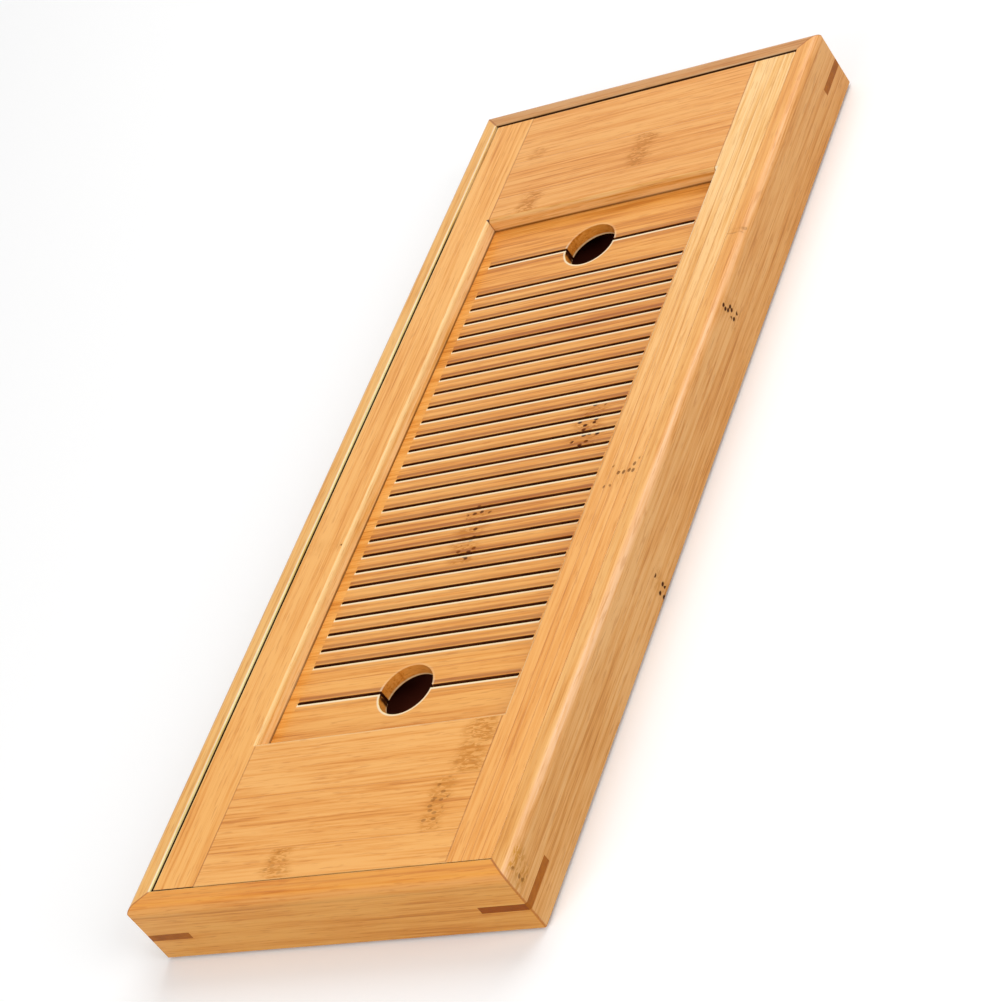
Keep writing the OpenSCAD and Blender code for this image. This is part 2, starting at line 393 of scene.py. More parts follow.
        slotSpan = between(axes["X"], left, right)
        inRows = maths(tree, "MULTIPLY", slotSpan, between(axes["Y"], first - pitch / 2, last + pitch / 2))
        holeRows = [(maths(tree, "SUBTRACT", axes["Y"], holeY * mm), slotSpan) for _, holeY in holeSpots]
        for fromSlot, mask in [(row, inRows)] + holeRows:
            for middle, reach, strength, lineColour in slotMarks:
                offLine = maths(tree, "ABSOLUTE", maths(tree, "SUBTRACT", fromSlot, middle * mm))
                line = remap(tree, offLine, reach * 0.3 * mm, reach * mm, strength, 0)
                line = maths(tree, "MULTIPLY", line, remap(tree, bands, 0.3, 0.6, 0.5, 1))
                colour = blendColour(tree, maths(tree, "MULTIPLY", line, mask), colour, look[lineColour])
        # round the near rim of each finger hole: a pale painted highlight, strongest in front
        for holeX, holeY in holeSpots:
            away = addNode(tree, "ShaderNodeVectorMath", operation="DISTANCE")
            feed(tree, away.inputs[0], place)
            feed(tree, away.inputs[1], (holeX * mm, holeY * mm, 20.4 * mm))
            offRim = maths(tree, "ABSOLUTE", maths(tree, "SUBTRACT", away.outputs["Value"], (holeRadius + 0.3) * mm))
            before = remap(tree, axes["Y"], (holeY - 4) * mm, (holeY + 6) * mm, 0.8, 0.1)
            colour = blendColour(tree, maths(tree, "MULTIPLY", remap(tree, offRim, 0.2 * mm, 0.7 * mm, 1, 0), before), colour, look["paintedHighlight"])

    # each piece is tinted: all over, below the rim, on the rounded rim as a painted highlight, and towards the back end
    def tinted(factor, change):
        return blendColour(tree, factor, colour, tuple(change) + (1,), blend="MULTIPLY")

    colour = tinted(1.0, tint)
    if sideTint:
        colour = tinted(remap(tree, axes["Z"], 22.4 * mm, 25.4 * mm, 1, 0), sideTint)
    # painted highlight along the rounded rim
    if rimHighlightTint:
        rim = maths(tree, "MULTIPLY", remap(tree, axes["Z"], 25.55 * mm, 26 * mm, 1, 0), remap(tree, axes["Z"], 22.8 * mm, 25 * mm))
        colour = tinted(rim, rimHighlightTint)
    if backTint:
        colour = tinted(remap(tree, axes["Y"], backFrom * mm, 180 * mm), backTint)
    if paintedShade:
        # painted shade in the gap round the top board: from a height up to another, as far as an end where it fades out
        low, high, shadeEnd = paintedShade
        gapShading = maths(tree, "MULTIPLY", remap(tree, axes["Z"], (low - 3.5) * mm, low * mm),
                      remap(tree, axes["Z"], (high - 0.1) * mm, (high + 0.1) * mm, 1, 0))
        gapShading = maths(tree, "MULTIPLY", gapShading, remap(tree, axes["Y"], (shadeEnd - 11) * mm, (shadeEnd + 11) * mm, 1, 0))
        colour = blendColour(tree, gapShading, colour, look["paintedShade"])
    if mitred:
        # glue line of the mitres, on the diagonals through the corners of the case
        widths = [maths(tree, "ABSOLUTE", axes[axis]) for axis in "XY"]
        diagonal = maths(tree, "SUBTRACT", maths(tree, "SUBTRACT", widths[1], widths[0]), (halfLength - halfWidth) * mm)
        line = remap(tree, maths(tree, "ABSOLUTE", diagonal), 0.15 * mm, 0.75 * mm, 0.75, 0)
        colour = blendColour(tree, line, colour, (0.42, 0.12, 0.012, 1))
    shader = addNode(tree, "ShaderNodeBsdfPrincipled")
    feed(tree, shader.inputs["Base Color"], colour)
    feed(tree, shader.inputs["Roughness"], roughness)
    shader.inputs["Specular IOR Level"].default_value = look["specular"]
    feed(tree, shader.inputs["Coat Weight"], coat)
    shader.inputs["Coat Roughness"].default_value = look["coatRoughness"]
    finishMaterial(tree, shader, height, 0.25, 0.0002)
    return material


def makeKeyWood(name, dark, light):
    material, tree = newMaterial(name)
    place = addNode(tree, "ShaderNodeTexCoord").outputs["Object"]
    grainNoise = noise(tree, scaled(tree, place, (420, 420, 1700)), detail=3, roughness=0.6)
    blotch = noise(tree, scaled(tree, place, (160, 160, 160)), detail=2)
    colour = blendColour(tree, grainNoise, dark + (1,), light + (1,))
    colour = blendColour(tree, remap(tree, blotch, 0.45, 0.75, 0, 0.5), colour, (0.17, 0.038, 0.003, 1))
    shader = addNode(tree, "ShaderNodeBsdfPrincipled")
    feed(tree, shader.inputs["Base Color"], colour)
    feed(tree, shader.inputs["Roughness"], remap(tree, grainNoise, 0.2, 0.8, 0.32, 0.5))
    shader.inputs["Specular IOR Level"].default_value = 0.15
    finishMaterial(tree, shader, grainNoise, 0.3, 0.0002)
    return material


def makeSlotShade(name, dark, light):
    # dark mottled faces for the slot walls: painted shade
    material, tree = newMaterial(name)
    place = addNode(tree, "ShaderNodeTexCoord").outputs["Object"]
    shadeNoise = noise(tree, scaled(tree, place, (150, 150, 900)), detail=3, roughness=0.65)
    colour = blendColour(tree, remap(tree, shadeNoise, 0.3, 0.75), dark + (1,), light + (1,))
    shader = addNode(tree, "ShaderNodeBsdfPrincipled")
    feed(tree, shader.inputs["Base Color"], colour)
    feed(tree, shader.inputs["Roughness"], remap(tree, shadeNoise, 0.2, 0.8, 0.6, 0.85))
    shader.inputs["Specular IOR Level"].default_value = 0.12
    finishMaterial(tree, shader, shadeNoise, 0.3, 0.0002)
    return material


def makeMoulded(name, colour, roughness, grainScale, depth):
    # plastic or rubber with a fine moulded grain
    material, tree = newMaterial(name)
    place = addNode(tree, "ShaderNodeTexCoord").outputs["Object"]
    grainNoise = noise(tree, scaled(tree, place, (grainScale, grainScale, grainScale)), detail=2)
    wide = noise(tree, scaled(tree, place, (35, 35, 35)), detail=3)
    lighter = tuple(c * 1.3 + 0.002 for c in colour) + (1,)
    shader = addNode(tree, "ShaderNodeBsdfPrincipled")
    feed(tree, shader.inputs["Base Color"], blendColour(tree, remap(tree, wide, 0.3, 0.7), tuple(colour) + (1,), lighter))
    feed(tree, shader.inputs["Roughness"], remap(tree, wide, 0.25, 0.75, roughness - 0.07, roughness + 0.07))
    shader.inputs["Specular IOR Level"].default_value = 0.25
    finishMaterial(tree, shader, grainNoise, 0.35, depth)
    return material


# sizes of the case, shared by the pieces that fit into it
tray = {
    "length": 380,
    "width": 150,
    "underside": 1,
    "top": 26,
    "railWidth": 7.5,
    "ledgeWidth": 5,
    "boardUnderside": 15.4,
    "baseGroove": (3.5, 6.5),
    "arris": 0.15,
}
halfWidth, halfLength = tray["width"] / 2, tray["length"] / 2


# rails

railShape = {"topRound": 3, "cornerRound": 1, "ease": 0.3, "keyLeg": 18, "keyLow": 10, "keyHigh": 13}


def mitreEnds(piece, outer, halfLength):
    slicePiece(piece, (outer, halfLength, 0), (1, 1, 0))
    slicePiece(piece, (outer, -halfLength, 0), (1, -1, 0))


def buildRail(name, frameWidth, frameLength):
    # on the -X side of a frame
    outer, half = -frameWidth / 2, frameLength / 2
    inner = outer + tray["railWidth"]
    low, top = tray["underside"], tray["top"]
    rail = addBlock(name, (outer, -half - 5, low), (inner, half + 5, top))
    roundEdges(rail, lambda a, b: near(a.x, outer) and near(b.x, outer) and near(a.z, top) and near(b.z, top),
               railShape["topRound"], 10)
    roundEdges(rail, lambda a, b: near(a.x, inner) and near(b.x, inner) and near(a.z, top) and near(b.z, top),
               railShape["ease"], 3)
    roundEdges(rail, lambda a, b: near(a.x, outer) and near(b.x, outer) and near(a.z, low) and near(b.z, low),
               railShape["ease"], 3)
    mitreEnds(rail, outer, half)
    softenArrises(rail, tray["arris"])
    # the upright corner: half of its round belongs to each rail
    radius = railShape["cornerRound"]
    for degrees in (15, 30, 45):
        turn = math.radians(degrees)
        for end in (-1, 1):
            normal = (-math.cos(turn), end * math.sin(turn), 0)
            middle = (outer + radius, end * (half - radius))
            slicePiece(rail, (middle[0] + radius * normal[0], middle[1] + radius * normal[1], 0), normal)
    for end in (-1, 1):
        leg = railShape["keyLeg"]
        corner = end * half
        slot = addBlock("slot", (outer - 2, min(corner - 20 * end, corner + 2 * end), railShape["keyLow"]),
                        (outer + 20, max(corner - 20 * end, corner + 2 * end), railShape["keyHigh"]))
        slicePiece(slot, (outer + leg, corner, 0), (1, -end, 0))
        cutAway(rail, slot)
    return rail


leftRail = buildRail("left_rail_shape", tray["width"], tray["length"])
rightRail = copyPiece(leftRail, "right_rail_shape", 180)
frontRail = copyPiece(buildRail("end_rail_shape", tray["length"], tray["width"]), "front_rail_shape", 90)
backRail = copyPiece(frontRail, "back_rail_shape", 180)
bpy.data.objects.remove(bpy.data.objects["end_rail_shape"])

railWood = {
    # the left rail has a pale painted highlight line beside the gap
    "left_rail": (leftRail, dict(grain="Y", across="X", seed=1, tint=(0.93, 1.0, 1.1), strips=((-75, 0.35),),
                                 rimHighlightTint=(0.92, 1.05, 1.4), stainsAndPaintedLight=(("X", -69.5, 0.9, 0.12, "stainAndShade"), ("X", -67.75, 0.75, 0.5, "paintedHighlight")))),
    "right_rail": (rightRail, dict(grain="Y", across="Z", seed=2, tint=(0.92, 0.96, 1.12), sideTint=(0.92, 0.94, 1.08),
                                   rimHighlightTint=(1.03, 1.15, 1.95), backTint=(1, 0.92, 0.76),
                                   strips=((0, 0.35),), stainsAndPaintedLight=(("X", 69.9, 0.9, 0.08, "stainAndShade"),),
                                   knots=(((52, 18.5), (5, 5.5), 0.5, 1.0), ((-58.5, 5), (5, 4.5), 0.5, 1.0),
                                          ((-182, 21), (6.5, 4.5), 1.0, 0.5), ((85.5, 25), (2.5, 1.2), 0.3, 0.3)))),
    "front_rail": (frontRail, dict(grain="X", across="Z", seed=3, tint=(0.86, 0.70, 0.38), sideTint=(0.98, 1.10, 1.5), rimHighlightTint=(1.08, 1.16, 1.8),
                                   stainsAndPaintedLight=(("Y", -185, 0.7, 0.16, "stainAndShade"), ("Y", -189.2, 0.8, 0.14, "stainAndShade"), ("Z", 22, 0.8, 0.12, "stainAndShade")))),
    "back_rail": (backRail, dict(grain="X", across="Z", seed=4, tint=(0.66, 0.64, 0.80))),
}
paintedLightTint = (1.0, 1.28, 1.95)  # painted light: walls, cut ends and rounded edges are drawn paler than the faces
highlightTint = (1.12, 1.85, 3.3)  # painted highlight: the edges beside the left gap, and the slots' near edges, are paler still
# bands of painted shade in the gaps: low height, high height and the end where they fade out
leftGapShade = (24.9, 25.3, 129)
gapShade = (24.9, 25.65, 500)
innerX, innerY = halfWidth - tray["railWidth"], halfLength - tray["railWidth"]


# a copy of a piece's wood for painted light: paler for lit walls and rounded edges, with lines and bands of painted
# shade
def makePaintedLightCopy(name, wood, stainsAndPaintedLight=(), change=paintedLightTint, sideTint=None, paintedShade=None):
    tint = [part * factor for part, factor in zip(wood["tint"], change)]
    return makeBamboo(name, **dict(wood, tint=tint, knots=(), stainsAndPaintedLight=stainsAndPaintedLight, sideTint=sideTint, rimHighlightTint=None, paintedShade=paintedShade))


# each rail's inner edge and face: a paler copy of its wood as a painted highlight, except on the right rail, and a band
# of painted shade in the gap
for node, (piece, wood) in railWood.items():
    if node == "left_rail":
        highlightWood = dict(wood, backTint=(1, 0.78, 0.65), backFrom=60)
        inner = makePaintedLightCopy("bamboo_left_rail_inner", highlightWood, change=highlightTint, paintedShade=leftGapShade)
    else:
        change = (1, 1, 1) if node == "right_rail" else paintedLightTint
        inner = makePaintedLightCopy("bamboo_" + node + "_inner", wood, change=change, paintedShade=gapShade)
    finishPiece(piece, node, "case", "bamboo", makeBamboo("bamboo_" + node, mitred=True, **wood), inner)
    paintFaces(piece, 1, lambda c, n: -0.1 < n.z < 0.97 and abs(c.x) < innerX + 0.35 and abs(c.y) < innerY + 0.35)
print("rails made")


# ledges glued inside the rails, grooved for the base board

ledgeShape = {"ease": 0.5, "grooveDepth": 3}


def buildLedge(name, frameWidth, frameLength):
    outer = -frameWidth / 2 + tray["railWidth"]
    half = frameLength / 2 - tray["railWidth"]
    inner = outer + tray["ledgeWidth"]
    top = tray["boardUnderside"]
    grooveLow, grooveHigh = tray["baseGroove"]
    ledge = addBlock(name, (outer, -half - 5, tray["underside"]), (inner, half + 5, top))
    for height in (grooveLow, grooveHigh):
        slicePiece(ledge, (0, 0, height), (0, 0, 1), keepBoth=True)
    pushFaces(ledge, lambda c, n: n.x > 0.9 and grooveLow < c.z < grooveHigh, (-ledgeShape["grooveDepth"], 0, 0))
    roundEdges(ledge, lambda a, b: near(a.x, inner) and near(b.x, inner) and near(a.z, top) and near(b.z, top),
               ledgeShape["ease"], 3)
    mitreEnds(ledge, outer, half)
    softenArrises(ledge, tray["arris"])
    return ledge


leftLedge = buildLedge("left_ledge_shape", tray["width"], tray["length"])
rightLedge = copyPiece(leftLedge, "right_ledge_shape", 180)
frontLedge = copyPiece(buildLedge("end_ledge_shape", tray["length"], tray["width"]), "front_ledge_shape", 90)
backLedge = copyPiece(frontLedge, "back_ledge_shape", 180)
bpy.data.objects.remove(bpy.data.objects["end_ledge_shape"])
ledgePieces = {"left_ledge": (leftLedge, "Y"), "right_ledge": (rightLedge, "Y"),
               "front_ledge": (frontLedge, "X"), "back_ledge": (backLedge, "X")}
for seed, (node, (piece, grain)) in enumerate(ledgePieces.items(), 11):
    finishPiece(piece, node, "case", "bamboo", makeBamboo("bamboo_" + node, grain=grain, across="Z", seed=seed))
print("ledges made")


# corner keys: one is modelled at a corner on the origin and set into all four corners

keyShape = {"arris": 0.08}
keyLow, keyHigh, keyLeg = railShape["keyLow"], railShape["keyHigh"], railShape["keyLeg"]
keyBlank = addBlock("key_shape", (0, 0, keyLow), (keyLeg, keyLeg, keyHigh))
slicePiece(keyBlank, (keyLeg, 0, 0), (1, 1, 0))
cornerRound = railShape["cornerRound"]
for degrees in (15, 30, 45, 60, 75):
    turn = math.radians(degrees)
    normal = (-math.cos(turn), -math.sin(turn), 0)
    slicePiece(keyBlank, (cornerRound * (1 + normal[0]), cornerRound * (1 + normal[1]), 0), normal)
cutAway(keyBlank, addBlock("trim", (tray["railWidth"], tray["railWidth"], keyLow - 1), (30, 30, keyHigh + 1)))
softenArrises(keyBlank, keyShape["arris"])
keyMaterial = makeKeyWood("key_wood", (0.26, 0.064, 0.003), (0.50, 0.158, 0.010))
shadedKeyMaterial = makeKeyWood("key_wood_shaded", (0.19, 0.036, 0.001), (0.42, 0.105, 0.003))
keyPlaces = {
    "front_left_key": (0, (-halfWidth, -halfLength)),
    "front_right_key": (90, (halfWidth, -halfLength)),
    "back_right_key": (180, (halfWidth, halfLength)),
    "back_left_key": (-90, (-halfWidth, halfLength)),
}
for node, (turn, corner) in keyPlaces.items():
    key = copyPiece(keyBlank, node, turn, corner)
    finishPiece(key, node, "case", "dark_wood", keyMaterial, shadedKeyMaterial)
    # faces towards the front get the darker copy: painted shade
    paintFaces(key, 1, lambda c, n: n.y < -0.9 and c.x > 0)
bpy.data.objects.remove(keyBlank)
print("keys made")


# base board and pads

baseShape = {"halfSize": (65.3, 180.3), "arris": 0.2}
grooveLow, grooveHigh = tray["baseGroove"]
baseX, baseY = baseShape["halfSize"]
baseBoard = addBlock("base_shape", (-baseX, -baseY, grooveLow), (baseX, baseY, grooveHigh))
softenArrises(baseBoard, baseShape["arris"])
finishPiece(baseBoard, "base_board", "case", "bamboo",
            makeBamboo("bamboo_base_board", grain="Y", across="X", seed=15,
                       strips=((-66, 0.30), (-44, 0.45), (-21, 0.25), (2, 0.40), (24, 0.30), (45, 0.5)),
                       knots=(((60, -32.5), (6, 11.3), 0.8, 0.5), ((-95, 13), (6, 10.8), 0.8, 0.5), ((20, 55), (6, 9.8), 0.7, 0.4))))

padShape = {"radius": 5, "height": 1, "rim": 0.3, "fromSide": 16, "fromEnd": 6.2}
padBlank = addRod("pad_shape", (0, 0), padShape["radius"], 0, padShape["height"], 64)
roundEdges(padBlank, lambda a, b: near(a.z, 0) and near(b.z, 0), padShape["rim"], 4)
padMaterial = makeMoulded("pad_rubber", (0.028, 0.028, 0.030), 0.8, 2500, 0.0002)
for node, side, end in (("front_left_pad", -1, -1), ("front_right_pad", 1, -1),
                        ("back_left_pad", -1, 1), ("back_right_pad", 1, 1)):
    spot = (side * (halfWidth - padShape["fromSide"]), end * (halfLength - padShape["fromEnd"]))
    finishPiece(copyPiece(padBlank, node, 0, spot), node, "case", "pad_rubber", padMaterial)
bpy.data.objects.remove(padBlank)
print("base board and pads made")


# top board: stiles, end boards and drain panel, joined by tongues and grooves

board = {
    "left": -66.5,
    "right": 67.2,
    "front": -182,
    "back": 181.5,
    "recess": ((-49.5, -124.2), (50.2, 123.7)),
    "low": 15.4,
    "top": 25.6,
    "tongueLow": 16.4,
    "tongueHigh": 19.4,
    "tongueLength": 4,
    "tongueRoom": 0.1,
    "outerEase": 0.3,
    "recessEase": 1.5,
    "arris": 0.12,
}
panelShape = {
    "top": 20.4,
    "room": 0.3,
    "slotWidth": 1.32,
    "slotLength": 90.1,
    "slotPitch": 7.05,
    "slotCount": 26,
    "holeRadius": 10.25,
    "holeFromMiddle": 103.85,
    "edge": 0.18,
}
(recessLeft, recessFront), (recessRight, recessBack) = board["recess"]
boardLow, boardTop = board["low"], board["top"]
tongueLow, tongueHigh = board["tongueLow"], board["tongueHigh"]
grooveDepth = board["tongueLength"] + board["tongueRoom"]


def inTongue(centre):
    return tongueLow < centre.z < tongueHigh


def markTongue(piece):
    for height in (tongueLow, tongueHigh):
        slicePiece(piece, (0, 0, height), (0, 0, 1), keepBoth=True)


def buildMouth():
    # a cutter as wide as the recess that flares at the top: it rounds the stiles' edges with mitred corners
    ease, steps = board["recessEase"], 9
    size = [recessRight - recessLeft, recessBack - recessFront]
    centre = [(recessLeft + recessRight) / 2 * mm, (recessFront + recessBack) / 2 * mm, boardTop * mm]
    height = boardTop - ease
    mouth = addBlock("mouth", (recessLeft + 0.5, recessFront + 0.5, height - 2), (recessRight - 0.5, recessBack - 0.5, height))
    levels = [(math.radians(90 * (step - 0.5) / steps)) for step in range(1, steps + 1)]
    path = [(ease * math.sin(turn), ease * (1 - math.cos(turn))) for turn in levels] + [(ease, ease), (ease + 1, ease)]
    lastUp, lastOut = 0, -0.5
    selectFaces(mouth, lambda c, n: n.z > 0.9)
    for up, out in path:
        bpy.ops.mesh.extrude_region_move(TRANSFORM_OT_translate={"value": (0, 0, (up - lastUp) * mm)})
        grow = [(side + 2 * out) / (side + 2 * lastOut) for side in size]
        bpy.ops.transform.resize(value=(grow[0], grow[1], 1), center_override=centre)
        lastUp, lastOut = up, out
    bpy.ops.object.mode_set(mode="OBJECT")
    return mouth


def buildStile(name, outer, inner):
    side = 1 if inner > outer else -1
    front, back = board["front"], board["back"]
    stile = addBlock(name, (min(outer, inner), front - 5, boardLow), (max(outer, inner), back + 5, boardTop))
    markTongue(stile)
    pushFaces(stile, lambda c, n: n.x * side > 0.9 and inTongue(c), (-side * grooveDepth, 0, 0))
    roundEdges(stile, lambda a, b: near(a.x, outer) and near(b.x, outer) and near(a.z, boardTop) and near(b.z, boardTop),
               board["outerEase"], 3)
    slicePiece(stile, (0, front, 0), (0, -1, 0))
    slicePiece(stile, (0, back, 0), (0, 1, 0))
    softenArrises(stile, board["arris"])
    cutAway(stile, buildMouth())
    return stile


def buildEndBoard(name, outerEnd, recessEnd):
    way = 1 if recessEnd > outerEnd else -1
    endBoard = addBlock(name, (recessLeft - 5, min(outerEnd, recessEnd), boardLow),
                        (recessRight + 5, max(outerEnd, recessEnd), boardTop))
    markTongue(endBoard)
    pushFaces(endBoard, lambda c, n: n.y * way > 0.9 and inTongue(c), (0, -way * grooveDepth, 0))
    slicePiece(endBoard, (recessLeft, 0, 0), (-1, 0, 0))
    slicePiece(endBoard, (recessRight, 0, 0), (1, 0, 0))
    markTongue(endBoard)
    for side in (-1, 1):
        pushFaces(endBoard, lambda c, n: n.x * side > 0.9 and inTongue(c), (side * board["tongueLength"], 0, 0))
    for end, ease, segments in ((outerEnd, board["outerEase"], 3), (recessEnd, board["recessEase"], 9)):
        roundEdges(endBoard, lambda a, b: near(a.y, end) and near(b.y, end) and near(a.z, boardTop) and near(b.z, boardTop),
                   ease, segments)
    softenArrises(endBoard, board["arris"])
    return endBoard


slotShadeFace = makeSlotShade("slot_painted_shade", (0.060, 0.009, 0.002), (0.17, 0.038, 0.008))
# dark lines at the foot of the recess walls and in its back corners: joints, darkened with painted shade
foot = ("Z", panelShape["top"], 0.75, 0.8, "stainAndShade")
seams = (foot, ("X", recessLeft, 0.5, 0.95, "stainAndShade"), ("X", recessRight, 0.5, 0.95, "stainAndShade"))
boardWood = {
    "left_stile": (buildStile("left_stile_shape", board["left"], recessLeft), (foot,),
                   dict(grain="Y", across="X", seed=5, strips=((-67, 0.28),), tint=(0.96, 0.92, 0.86), backTint=(1.02, 1.06, 1.2),
                        knots=(((-36, -60), (5, 6), 0.25, 0), ((-38, -52), (2, 1.2), 0.3, 0.9)))),
    "right_stile": (buildStile("right_stile_shape", board["right"], recessRight), (foot,),
                    dict(grain="Y", across="X", seed=6, strips=((50, 0.22), (56, 0.50), (58.8, 0.25), (62.5, 0.38)),
                         tint=(0.95, 0.89, 0.86), backTint=(1.09, 1.45, 2.4), backFrom=-100,
                         knots=(((-26.4, 60.5), (7, 6), 0.4, 0.7), ((-48.5, 66.3), (3, 1), 0.3, 0.8)))),
    "front_end_board": (buildEndBoard("front_end_shape", board["front"], recessFront), (),
                        dict(grain="X", across="Y", seed=7, strips=((-182, 0.28), (-169.4, 0.42), (-147.5, 0.30)),
                             tint=(0.94, 0.90, 0.88),
                             knots=(((-18, -175.7), (6, 6.2), 1.0, 0.2), ((38, -158.4), (5, 10.9), 0.9, 0.4),
                                    ((43.5, -136), (7, 11.4), 1.1, 0.1)))),
    "back_end_board": (buildEndBoard("back_end_shape", board["back"], recessBack), seams,
                       dict(grain="X", across="Y", seed=8, strips=((123, 0.35), (136.1, 0.62), (155.5, 0.38)),
                            tint=(0.90, 0.84, 0.82),
                            knots=(((11.5, 145.8), (6, 9.6), 1.3, 0.1), ((-33.5, 129.5), (5, 6.4), 1.3, 0),
                                   ((-40, 159), (4.5, 3.6), 0.7, 0)))),
}
joints = (("X", recessLeft, 0.45, 0.5, "stainAndShade"), ("X", recessRight, 0.45, 0.5, "stainAndShade"))


def byRecess(centre):
    return recessLeft - 2 < centre.x < recessRight + 2 and recessFront - 2 < centre.y < recessBack + 2


def byRails(centre):
    # the right edge is left out: it keeps the faces' colour, without the painted highlight
    return centre.x < board["right"] - 1 and not (board["left"] + 1 < centre.x and board["front"] + 1 < centre.y < board["back"] - 1)


# the recess walls and rounded edges get a paler copy of the wood, paler still below the rim: painted light, with
# painted shade lines at the walls' foot and corners
for node, (piece, marks, wood) in boardWood.items():
    change = (1.0, 1.18, 1.6) if "end" in node else paintedLightTint
    finishPiece(piece, node, "top_board", "bamboo", makeBamboo("bamboo_" + node, stainsAndPaintedLight=joints, **wood),
                makePaintedLightCopy("bamboo_" + node + "_edge", wood, marks, change=change, sideTint=(1.08, 1.18, 1.4)))
    paintFaces(piece, 1, lambda c, n: n.z < 0.97 and c.z > panelShape["top"] - 1 and (byRecess(c) or n.z > 0.1 and byRails(c)))

# the left stile's long edge beside the gap, with a painted highlight, and its front end, with painted shade in the gap
leftStile, _, leftWood = boardWood["left_stile"]
leftStile.data.materials.append(makePaintedLightCopy("bamboo_left_stile_highlight", leftWood, change=highlightTint))
leftStile.data.materials.append(makePaintedLightCopy("bamboo_left_stile_end", leftWood, paintedShade=(24.9, 25.65, 500)))
paintFaces(leftStile, 2, lambda c, n: n.x < -0.1 and n.z > 0.1)
paintFaces(leftStile, 3, lambda c, n: n.y < -0.1)
print("stiles and end boards made")


# drain panel: it lies loose in the grooves, with a hairline of room beside it

panelTop, room = panelShape["top"], panelShape["room"]
panel = addBlock("panel_shape", (recessLeft + room, recessFront + room, boardLow),
                 (recessRight - room, recessBack - room, panelTop))
markTongue(panel)
tongueReach = board["tongueLength"] + room
for side in (-1, 1):
    pushFaces(panel, lambda c, n: n.x * side > 0.9 and inTongue(c), (side * tongueReach, 0, 0))
for side in (-1, 1):
    pushFaces(panel, lambda c, n: n.y * side > 0.9 and inTongue(c), (0, side * tongueReach, 0))

middleX, middleY = (recessLeft + recessRight) / 2, (recessFront + recessBack) / 2
slotRadius = panelShape["slotWidth"] / 2
slotReach = panelShape["slotLength"] / 2
slotCutter = addBlock("slot_shape", (-slotReach, -slotRadius, boardLow - 1), (slotReach, slotRadius, panelTop + 1))
roundEdges(slotCutter, lambda a, b: near(a.x, b.x) and near(a.y, b.y), slotRadius * 0.96, 8)
firstSlot = -(panelShape["slotCount"] - 1) / 2 * panelShape["slotPitch"]
slotRows = [firstSlot + i * panelShape["slotPitch"] for i in range(panelShape["slotCount"])]
slotRows += [-panelShape["holeFromMiddle"], panelShape["holeFromMiddle"]]
slots = [copyPiece(slotCutter, "slot", 0, (middleX, middleY + row)) for row in slotRows]
bpy.data.objects.remove(slotCutter)
clearSelection()
for slot in slots:
    slot.select_set(True)
bpy.context.view_layer.objects.active = slots[0]
bpy.ops.object.join()
cutAway(panel, slots[0])
for end in (-1, 1):
    spot = (middleX, middleY + end * panelShape["holeFromMiddle"])
    cutAway(panel, addRod("hole", spot, panelShape["holeRadius"], boardLow - 1, panelTop + 1, 96))
softenArrises(panel, panelShape["edge"])

panelWood = dict(grain="X", across="Y", seed=9, tint=(0.92, 0.86, 0.74),
                 strips=((-124.2, 0.40), (-96, 0.42), (-60, 0.46), (-24, 0.36), (14, 0.50), (52, 0.70), (88, 0.66), (104, 0.72)),
                 knots=(((34, 6), (8, 11), 1.25, 1.0), ((1, -37), (7, 14), 1.2, 0.9)),
                 # painted shade on the panel beside the left and back walls
                 stainsAndPaintedLight=(("X", recessLeft, 0.6, 0.35, "stainAndShade"), ("Y", recessBack, 1.4, 0.45, "stainAndShade")),
                 slotLines=((middleY + firstSlot, panelShape["slotPitch"], middleY - firstSlot),
                            (middleX - slotReach, middleX + slotReach),
                            ([(middleX, middleY + end * panelShape["holeFromMiddle"]) for end in (-1, 1)], panelShape["holeRadius"])))
# on the finger hole walls: a pale painted highlight at the foot, and painted shade where the slot through each hole
# cuts the wall
holePaintedLight = [("Z", boardLow + 0.3, 0.7, 0.9, "paintedHighlight")]
holePaintedLight += [("Y", middleY + end * panelShape["holeFromMiddle"] - 1.1, 2.2, 1.0, "paintedShade") for end in (-1, 1)]
holeWood = dict(panelWood, tint=(0.92, 0.74, 0.50), knots=(), stainsAndPaintedLight=holePaintedLight, slotLines=None)
finishPiece(panel, "drain_panel", "top_board", "bamboo", makeBamboo("bamboo_drain_panel", **panelWood), slotShadeFace,
            makeBamboo("bamboo_finger_hole", **holeWood), makePaintedLightCopy("bamboo_slot_edge", dict(panelWood, slotLines=None), change=highlightTint))


def fromHole(centre):
    return min(math.hypot(centre.x - middleX, centre.y - middleY - end * panelShape["holeFromMiddle"]) for end in (-1, 1))


def inSlots(centre):
    return abs(centre.x - middleX) < slotReach + 0.5 and abs(centre.y - middleY) < panelShape["holeFromMiddle"] + 11


# the slot walls: painted shade
paintFaces(panel, 1, lambda c, n: abs(n.z) < 0.3 and inSlots(c))
# the slots' near edges: painted highlight
paintFaces(panel, 3, lambda c, n: 0.3 <= n.z < 0.97 and n.y > 0.1 and inSlots(c))
paintFaces(panel, 2, lambda c, n: abs(n.z) < 0.3 and fromHole(c) < panelShape["holeRadius"] + 0.3)
print("drain panel made")


# water tray: moulded, with a rounded floor edge and a soft rim

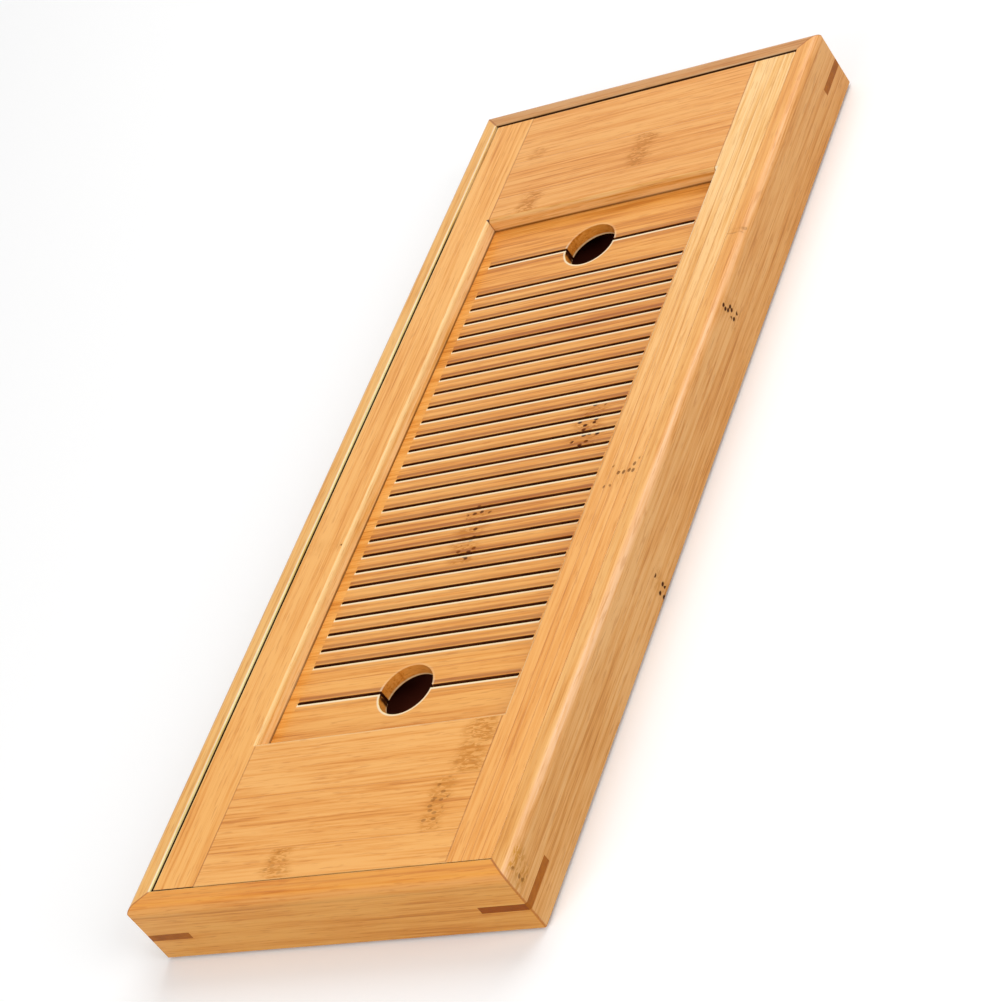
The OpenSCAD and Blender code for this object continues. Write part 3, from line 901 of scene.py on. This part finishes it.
waterShape = {"halfSize": (62.1, 177.1), "low": 6.5, "top": 14.9, "wall": 1.5, "floor": 1.5, "round": 6,
              "innerRound": 2, "rim": 0.35}
waterX, waterY = waterShape["halfSize"]
waterTray = addBlock("water_shape", (-waterX, -waterY, waterShape["low"]), (waterX, waterY, waterShape["top"]))
roundEdges(waterTray, lambda a, b: near(a.x, b.x) and near(a.y, b.y), waterShape["round"], 12)
selectFaces(waterTray, lambda c, n: n.z > 0.9)
bpy.ops.mesh.inset(thickness=waterShape["wall"] * mm)
waterDepth = waterShape["top"] - waterShape["low"] - waterShape["floor"]
bpy.ops.mesh.extrude_region_move(TRANSFORM_OT_translate={"value": (0, 0, -waterDepth * mm)})
bpy.ops.object.mode_set(mode="OBJECT")
floorHeight = waterShape["low"] + waterShape["floor"]
roundEdges(waterTray, lambda a, b: near(a.z, floorHeight) and near(b.z, floorHeight), waterShape["innerRound"], 5)
softenArrises(waterTray, waterShape["rim"], 3)
finishPiece(waterTray, "water_tray", "reservoir", "tray_plastic",
            makeMoulded("tray_plastic", (0.085, 0.017, 0.008), 0.34, 1800, 0.0001))
print("water tray made")


# camera where the photograph was taken from

photoView = {
    "place": (0.6305, -0.6796, 0.6195),
    "along": (-0.57367, 0.60486, -0.55231),
    "right": (0.80692, 0.30156, -0.50788),
    "lens": 116.26,
    "sensor": 36.0,
}
forward = Vector(photoView["along"]).normalized()
right = Vector(photoView["right"])
right = (right - forward * right.dot(forward)).normalized()
camera = bpy.data.objects.new("photo_camera", bpy.data.cameras.new("photo_camera"))
bpy.context.scene.collection.objects.link(camera)
turn = Matrix((right, right.cross(forward), -forward)).transposed()
camera.matrix_world = Matrix.Translation(photoView["place"]) @ turn.to_4x4()
camera.data.lens = photoView["lens"]
camera.data.sensor_width = photoView["sensor"]
camera.data.clip_end = 20
bpy.context.scene.camera = camera


# studio: a large soft light behind the tray for the shine along the round edges, and two softer ones
# on the sides that the camera sees

lamps = {
    "back_light": {"place": (0.16, 0.91, 1.14), "size": 1.3, "power": 12.5},
    "right_light": {"place": (1.28, -0.30, 0.75), "size": 0.8, "power": 7.5},
    "front_light": {"place": (-0.25, -1.28, 0.72), "size": 0.8, "power": 7},
}
for name, values in lamps.items():
    lamp = bpy.data.lights.new(name, "AREA")
    lamp.size = values["size"]
    lamp.energy = values["power"]
    holder = bpy.data.objects.new(name, lamp)
    bpy.context.scene.collection.objects.link(holder)
    holder.location = values["place"]
    holder.rotation_euler = (-Vector(values["place"])).to_track_quat("-Z", "Y").to_euler()

ambient = 0.40
world = bpy.data.worlds.new("studio")
bpy.context.scene.world = world
world.use_nodes = True
tree = world.node_tree
tree.nodes.clear()
surround = addNode(tree, "ShaderNodeBackground")
rays = addNode(tree, "ShaderNodeLightPath").outputs
seen = maths(tree, "MAXIMUM", maths(tree, "MAXIMUM", rays["Is Camera Ray"], rays["Is Glossy Ray"]), rays["Is Transmission Ray"])
feed(tree, surround.inputs["Color"], (1, 1, 1, 1))
feed(tree, surround.inputs["Strength"], remap(tree, seen, 0, 1, ambient, 1.0))
worldOut = addNode(tree, "ShaderNodeOutputWorld")
feed(tree, worldOut.inputs["Surface"], surround.outputs[0])

clearSelection()
bpy.ops.mesh.primitive_circle_add(vertices=128, radius=1.1, fill_type="NGON", location=(0, 0, 0))
floor = bpy.context.object
floor.name = "floor"
floorMaterial, tree = newMaterial("floor_white")
rays = addNode(tree, "ShaderNodeLightPath").outputs
floorShader = addNode(tree, "ShaderNodeBsdfPrincipled")
feed(tree, floorShader.inputs["Base Color"], blendColour(tree, rays["Is Camera Ray"], (0.7, 0.7, 0.7, 1), (1, 1, 1, 1)))
feed(tree, floorShader.inputs["Roughness"], 0.9)
floorOut = addNode(tree, "ShaderNodeOutputMaterial")
feed(tree, floorOut.inputs["Surface"], floorShader.outputs[0])
floor.data.materials.append(floorMaterial)

bpy.context.scene.view_settings.view_transform = "Standard"
print("camera and studio set")
